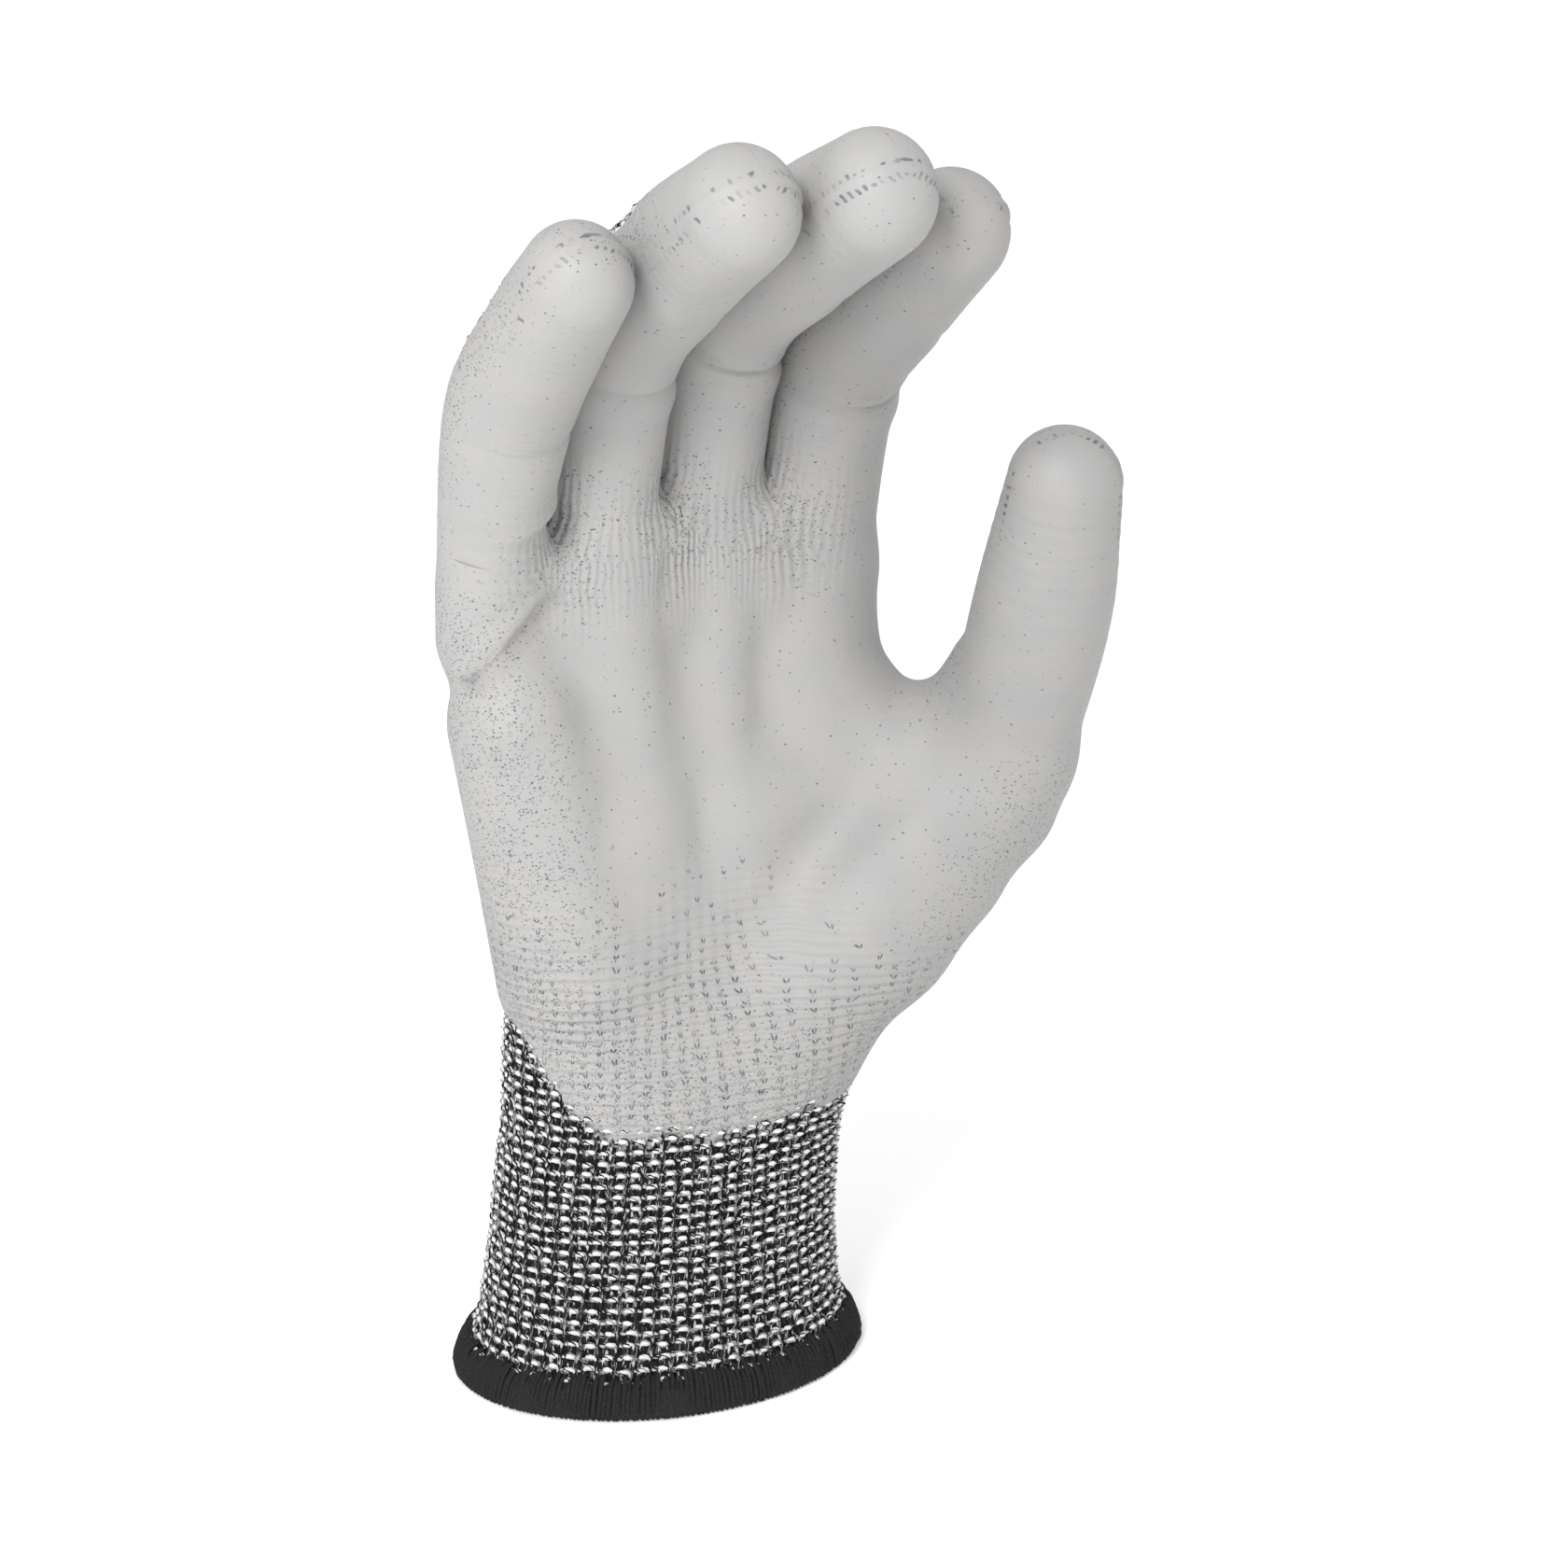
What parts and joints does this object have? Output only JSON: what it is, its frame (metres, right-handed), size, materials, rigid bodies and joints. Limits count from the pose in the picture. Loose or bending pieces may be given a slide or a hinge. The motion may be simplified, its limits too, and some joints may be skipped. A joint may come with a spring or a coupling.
{
  "type": "cut resistant work glove",
  "caption": "Seamless knitted right-hand work glove with a dipped polyurethane palm and fingertips, a ribbed elastic cuff and an overlocked black hem.",
  "frame": {"origin": "under the middle of the whole glove, on the plane of the cuff hem it stands on", "axes": "+Z from the cuff towards the fingertips, -Y the way the palm faces, +X the way the thumb points"},
  "size_m": [0.1186, 0.104, 0.2356],
  "materials": {
    "knit": "salt and pepper knitted yarn",
    "coating": "matte dipped polyurethane",
    "hem": "black overlocking thread",
    "elastic": "covered elastic thread"
  },
  "bodies": {
    "cuff": {"cuff_knit": "knit", "hem_overlock": "hem", "cuff_elastic": "elastic"},
    "palm": {"palm_knit": "knit", "palm_coating": "coating"},
    "index_proximal": {"index_proximal_knit": "knit", "index_proximal_coating": "coating"},
    "index_middle": {"index_middle_knit": "knit", "index_middle_coating": "coating"},
    "index_distal": {"index_distal_knit": "knit", "index_distal_coating": "coating"},
    "middle_proximal": {"middle_proximal_knit": "knit", "middle_proximal_coating": "coating"},
    "middle_middle": {"middle_middle_knit": "knit", "middle_middle_coating": "coating"},
    "middle_distal": {"middle_distal_knit": "knit", "middle_distal_coating": "coating"},
    "ring_proximal": {"ring_proximal_knit": "knit", "ring_proximal_coating": "coating"},
    "ring_middle": {"ring_middle_knit": "knit", "ring_middle_coating": "coating"},
    "ring_distal": {"ring_distal_knit": "knit", "ring_distal_coating": "coating"},
    "little_proximal": {"little_proximal_knit": "knit", "little_proximal_coating": "coating"},
    "little_middle": {"little_middle_knit": "knit", "little_middle_coating": "coating"},
    "little_distal": {"little_distal_knit": "knit", "little_distal_coating": "coating"},
    "thumb_proximal": {"thumb_proximal_knit": "knit", "thumb_proximal_coating": "coating"},
    "thumb_distal": {"thumb_distal_knit": "knit", "thumb_distal_coating": "coating"}
  },
  "joints": [
    {"name": "wrist_bend", "type": "hinge", "parent": "cuff", "child": "palm", "pos_m": [-0.01062, 0.01854, 0.043], "axis": [1, 0, 0], "range_deg": [-30, 30], "stiffness_Nm_per_rad": 0.5},
    {"name": "index_knuckle_bend", "type": "hinge", "parent": "palm", "child": "index_proximal", "pos_m": [0.01908, 0.02054, 0.151], "axis": [1, 0, 0], "range_deg": [-25, 50], "stiffness_Nm_per_rad": 0.06},
    {"name": "index_middle_bend", "type": "hinge", "parent": "index_proximal", "child": "index_middle", "pos_m": [0.01908, 0.01054, 0.1856], "axis": [1, 0, 0], "range_deg": [-30, 50], "stiffness_Nm_per_rad": 0.04},
    {"name": "index_end_bend", "type": "hinge", "parent": "index_middle", "child": "index_distal", "pos_m": [0.01908, -0.00996, 0.2032], "axis": [1, 0, 0], "range_deg": [-10, 35], "stiffness_Nm_per_rad": 0.03},
    {"name": "middle_knuckle_bend", "type": "hinge", "parent": "palm", "child": "middle_proximal", "pos_m": [-0.00402, 0.02254, 0.1535], "axis": [1, 0, 0], "range_deg": [-25, 50], "stiffness_Nm_per_rad": 0.06},
    {"name": "middle_middle_bend", "type": "hinge", "parent": "middle_proximal", "child": "middle_middle", "pos_m": [-0.00402, 0.01054, 0.1954], "axis": [1, 0, 0], "range_deg": [-30, 50], "stiffness_Nm_per_rad": 0.04},
    {"name": "middle_end_bend", "type": "hinge", "parent": "middle_middle", "child": "middle_distal", "pos_m": [-0.00402, -0.01746, 0.2132], "axis": [1, 0, 0], "range_deg": [-10, 35], "stiffness_Nm_per_rad": 0.03},
    {"name": "ring_knuckle_bend", "type": "hinge", "parent": "palm", "child": "ring_proximal", "pos_m": [-0.02702, 0.01854, 0.1545], "axis": [1, 0, 0], "range_deg": [-25, 50], "stiffness_Nm_per_rad": 0.06},
    {"name": "ring_middle_bend", "type": "hinge", "parent": "ring_proximal", "child": "ring_middle", "pos_m": [-0.02702, 0.00754, 0.1933], "axis": [1, 0, 0], "range_deg": [-30, 50], "stiffness_Nm_per_rad": 0.04},
    {"name": "ring_end_bend", "type": "hinge", "parent": "ring_middle", "child": "ring_distal", "pos_m": [-0.02702, -0.01546, 0.211], "axis": [1, 0, 0], "range_deg": [-10, 35], "stiffness_Nm_per_rad": 0.03},
    {"name": "little_knuckle_bend", "type": "hinge", "parent": "palm", "child": "little_proximal", "pos_m": [-0.04892, 0.01454, 0.1555], "axis": [1, 0, 0], "range_deg": [-25, 50], "stiffness_Nm_per_rad": 0.06},
    {"name": "little_middle_bend", "type": "hinge", "parent": "little_proximal", "child": "little_middle", "pos_m": [-0.04892, 0.00484, 0.1843], "axis": [1, 0, 0], "range_deg": [-30, 50], "stiffness_Nm_per_rad": 0.04},
    {"name": "little_end_bend", "type": "hinge", "parent": "little_middle", "child": "little_distal", "pos_m": [-0.04892, -0.00946, 0.1998], "axis": [1, 0, 0], "range_deg": [-10, 35], "stiffness_Nm_per_rad": 0.03},
    {"name": "thumb_base_bend", "type": "hinge", "parent": "palm", "child": "thumb_proximal", "pos_m": [0.04588, -0.00746, 0.1155], "axis": [0.9687, -0.2466, -0.0285], "range_deg": [-15, 15], "stiffness_Nm_per_rad": 0.06},
    {"name": "thumb_end_bend", "type": "hinge", "parent": "thumb_proximal", "child": "thumb_distal", "pos_m": [0.04408, -0.02146, 0.1458], "axis": [0.9687, -0.2466, -0.0285], "range_deg": [-15, 40], "stiffness_Nm_per_rad": 0.03}
  ]
}
